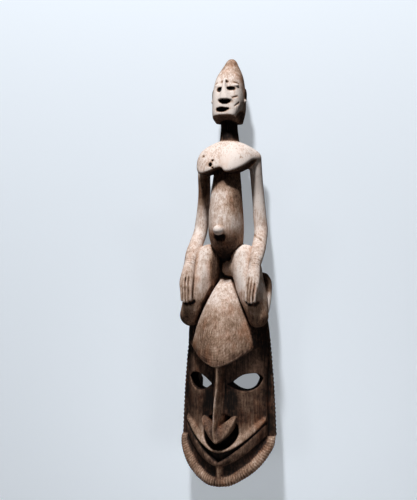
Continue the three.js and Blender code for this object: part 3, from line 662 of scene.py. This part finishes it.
at, faces = skinned(wood)
clipped = np.clip(wood, -6, 6)
hollows = -read(averaged(clipped, 6), at)
edges = read(averaged(np.clip(wood, -3, 3), 2), at)
colour = read(averaged(shade, 1), at)
slopes = np.stack([read(wood, at + d) - read(wood, at - d) for d in np.eye(3)], 1)
slopes /= np.linalg.norm(slopes, axis=1, keepdims=True) + 1e-9
places_mm = np.array([axis[0] for axis in AXES]) + at * STEP
dice = np.random.default_rng(11)
waves = dice.normal(size=(WAVES, 3)) * [0.16, 0.07, 0.16]
wavy = np.sin(places_mm @ waves.T + dice.uniform(0, 6.28, WAVES)).mean(1)
places_mm = places_mm + slopes * 1.6 * wavy[:, None]

# The carving as one piece, in the record's frame: the origin in the middle of its underside, metres.
# Its mesh carries the colour, the hollows and the edges of the wood, and is thinned before it is drawn.
UNDERSIDE_MIDDLE = [0, 446.44, BACK]
mesh = bpy.data.meshes.new("carving")
mesh.vertices.add(len(at))
mesh.vertices.foreach_set("co", ((places_mm - UNDERSIDE_MIDDLE) / 1000).astype(np.float32).ravel())
mesh.loops.add(faces.size)
mesh.loops.foreach_set("vertex_index", faces.astype(np.int32).ravel())
mesh.polygons.add(len(faces))
mesh.polygons.foreach_set("loop_start", np.arange(0, faces.size, 4, dtype=np.int32))
mesh.update(calc_edges=True)
mesh.shade_smooth()
for name, values in (("colour", colour), ("hollows", hollows), ("edges", edges)):
    mesh.attributes.new(name, "FLOAT", "POINT").data.foreach_set("value", values.astype(np.float32))
carving = bpy.data.objects.new("carving", mesh)
bpy.context.scene.collection.objects.link(carving)
fewer = carving.modifiers.new("fewer faces", "DECIMATE")
fewer.ratio = TRIANGLES / (2 * len(faces))
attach(carving, "root")
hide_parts("mask")


# The wood: a pale, close-grained timber without varnish, brown with smoke and handling on the mask, worn
# back to a dry pinkish cream on the figure. Its grain is drawn 3 mm wide and its fibres 1 mm. Real pores,
# a few tenths of a mm wide, would be too fine to show in the render, so they are drawn 2 mm wide.
def linear(code):
    """A colour from its sRGB hex code, in the linear values that shaders use."""
    channels = np.array([int(code[k:k + 2], 16) / 255 for k in (1, 3, 5)])
    return (*np.where(channels <= 0.04045, channels / 12.92, ((channels + 0.055) / 1.055) ** 2.4), 1.0)


material = bpy.data.materials.new("carved_wood")
material.use_nodes = True
nodes, links = material.node_tree.nodes, material.node_tree.links
nodes.clear()


def node(kind, *inputs, out=0, **settings):
    """Adds a node with its settings. Inputs go in by order: a number, a colour, or another node's output."""
    new = nodes.new("ShaderNode" + kind)
    for name, value in settings.items():
        setattr(new, name, value)
    for socket, value in zip(new.inputs, inputs):
        if isinstance(value, bpy.types.NodeSocket):
            links.new(value, socket)
        elif value is not None:
            socket.default_value = value
    return new.outputs[out]


place = node("TexCoord", out=3)
# The colour set above, with its painted light and shade.
colour_with_painted_shade = node("Attribute", out=2, attribute_name="colour")
hollow_here = node("Attribute", out=2, attribute_name="hollows")
edge_here = node("Attribute", out=2, attribute_name="edges")
in_streaks = node("VectorMath", place, (1000 / 3.3, 1000 / 66, 1000 / 3.3), operation="MULTIPLY")
streaks = node("TexNoise", in_streaks, None, 1.0, 5.0, 0.7)
in_fibres = node("VectorMath", place, (1000 / 1.1, 1000 / 11, 1000 / 1.1), operation="MULTIPLY")
fibres = node("TexNoise", in_fibres, None, 1.0, 2.0, 0.6)
cloud = node("TexNoise", place, None, 1000 / 50, 5.0, 0.65)
blotch = node("TexNoise", place, None, 1000 / 10.5, 4.0, 0.7)
in_pores = node("VectorMath", place, (1000 / 1.9, 1000 / 3.8, 1000 / 1.9), operation="MULTIPLY")
pores = node("TexNoise", in_pores, None, 1.0, 1.0, 0.5)
pores = node("MapRange", pores, 0.66, 0.74, 0.5, 0.0)
tone = node("Math", hollow_here, -0.035, colour_with_painted_shade, operation="MULTIPLY_ADD")
tone = node("Math", edge_here, 0.1, tone, operation="MULTIPLY_ADD")
for texture, strength in ((cloud, 0.7), (streaks, 0.75), (blotch, 0.55), (fibres, 0.4), (pores, 0.6)):
    swing = node("Math", texture, 0.5, operation="SUBTRACT")
    tone = node("Math", swing, strength, tone, operation="MULTIPLY_ADD")
paint = nodes.new("ShaderNodeValToRGB")
links.new(tone, paint.inputs[0])
stops = [
    (0.0, "#0d0806"), (0.12, "#281a13"), (0.25, "#483429"), (0.4, "#6e5546"), (0.55, "#917561"),
    (0.7, "#b49987"), (0.85, "#d3bcae"), (1.0, "#efe2da"),
]
while len(paint.color_ramp.elements) < len(stops):
    paint.color_ramp.elements.new(0.5)
for element, (position, code) in zip(paint.color_ramp.elements, stops):
    element.position = position
    element.color = linear(code)
in_stains = node("VectorMath", place, (1, 0.5, 1), operation="MULTIPLY")
reddish = node("TexNoise", in_stains, None, 1000 / 24, 4.0, 0.6)
reddish = node("Math", hollow_here, 0.03, reddish, operation="MULTIPLY_ADD")
reddish = node("MapRange", reddish, 0.48, 0.68, 0.0, 1.0)
reddish = node("Math", reddish, node("MapRange", colour_with_painted_shade, 0.4, 1.0, 0.9, 0.3), operation="MULTIPLY")
colour = node("Mix", reddish, None, None, None, None, None, paint.outputs[0], linear("#f2cdb4"),
              out=2, data_type="RGBA", blend_type="MULTIPLY")
grain = node("Math", streaks, 0.7, node("Math", fibres, 0.3, operation="MULTIPLY"), operation="MULTIPLY_ADD")
grain = node("Math", pores, 0.6, grain, operation="MULTIPLY_ADD")
relief = nodes.new("ShaderNodeBump")
relief.inputs["Strength"].default_value = 0.5
relief.inputs["Distance"].default_value = 0.0012
links.new(grain, relief.inputs["Height"])
surface = nodes.new("ShaderNodeBsdfPrincipled")
surface.inputs["Roughness"].default_value = 0.7
surface.inputs["IOR"].default_value = 1.5
surface.inputs["Specular IOR Level"].default_value = 0.18
links.new(colour, surface.inputs["Base Color"])
links.new(relief.outputs[0], surface.inputs["Normal"])
links.new(surface.outputs[0], nodes.new("ShaderNodeOutputMaterial").inputs[0])
mesh.materials.append(material)

# The floor, a plain pale sheet of studio paper that the mask lies on. Far off it curves up on all sides.
# It throws no light back on the wood, so that the shadows in the carving stay deep, and a faint glow of
# its own keeps it evenly pale.
TURNS = 64
ROWS = 12
around = np.linspace(0, 2 * np.pi, TURNS, endpoint=False)
turn, way = np.meshgrid(around, np.linspace(0, 1, ROWS), indexing="ij")
radius = 5 + 2 * np.sin(way * np.pi / 2)
rise = 2.5 * (1 - np.cos(way * np.pi / 2))
sweep = np.stack([radius * np.cos(turn), radius * np.sin(turn), rise], -1).reshape(-1, 3)
here = np.arange(TURNS * ROWS).reshape(TURNS, ROWS)
after = np.roll(here, -1, axis=0)
sides = np.stack([here[:, :-1], after[:, :-1], after[:, 1:], here[:, 1:]], -1).reshape(-1, 4)
floor_mesh = bpy.data.meshes.new("floor")
floor_mesh.from_pydata(sweep.tolist(), [], [here[:, 0].tolist()] + sides[:, ::-1].tolist())
floor_mesh.shade_smooth()
floor = bpy.data.objects.new("floor", floor_mesh)
floor.visible_diffuse = False
floor.visible_glossy = False
bpy.context.scene.collection.objects.link(floor)
pale = bpy.data.materials.new("pale_floor")
pale.use_nodes = True
paper = pale.node_tree.nodes["Principled BSDF"].inputs
paper["Base Color"].default_value = linear("#d2dae3")
paper["Roughness"].default_value = 0.9
paper["Emission Color"].default_value = linear("#e9f0f7")
paper["Emission Strength"].default_value = 0.35
floor_mesh.materials.append(pale)

# The light: one strong lamp, 0.4 m across, beyond the head, that rakes down the figure, and two weak ones
# that light the face of the mask from both sides. The air around is almost dark.
for name, spot, aim, size, watts, spread in (
    ("lamp_above", (-0.1, 3.25, 1.8), (0, 0, 0.05), 0.4, 160, 180),
    ("lamp_right", (1.3, -0.9, 1.1), (0, -0.34, 0.05), 0.4, 0.2, 34),
    ("lamp_left", (-1.1, -0.9, 1.3), (0, -0.34, 0.05), 0.4, 0.13, 34),
):
    lamp_data = bpy.data.lights.new(name, "AREA")
    lamp_data.shape = "DISK"
    lamp_data.size = size
    lamp_data.energy = watts
    lamp_data.spread = np.radians(spread)
    lamp = bpy.data.objects.new(name, lamp_data)
    lamp.location = spot
    lamp.rotation_euler = (Vector(aim) - Vector(spot)).to_track_quat("-Z", "Y").to_euler()
    bpy.context.scene.collection.objects.link(lamp)
world = bpy.data.worlds.new("studio")
world.use_nodes = True
background = world.node_tree.nodes["Background"].inputs
background["Color"].default_value = linear("#f4f1ee")
background["Strength"].default_value = 0.04
bpy.context.scene.world = world
bpy.context.scene.view_settings.view_transform = "Standard"

# The camera, at the photograph's angle: level with the middle of the mask and a little to its left. It
# is turned 17 degrees about the length of the mask.
lens = bpy.data.cameras.new("camera")
lens.lens = 100.93
lens.sensor_width = 36
camera = bpy.data.objects.new("camera", lens)
camera.location = (0.82937, 0.09502, 2.91348)
forward = (Vector((-0.04761, 0.04266, 0.045)) - camera.location).normalized()
turn = np.radians(17)
right = Vector((np.cos(turn), 0, -np.sin(turn)))
over = right.cross(forward)
camera.rotation_euler = Matrix((right, over, -forward)).transposed().to_euler()
bpy.context.scene.collection.objects.link(camera)
bpy.context.scene.camera = camera
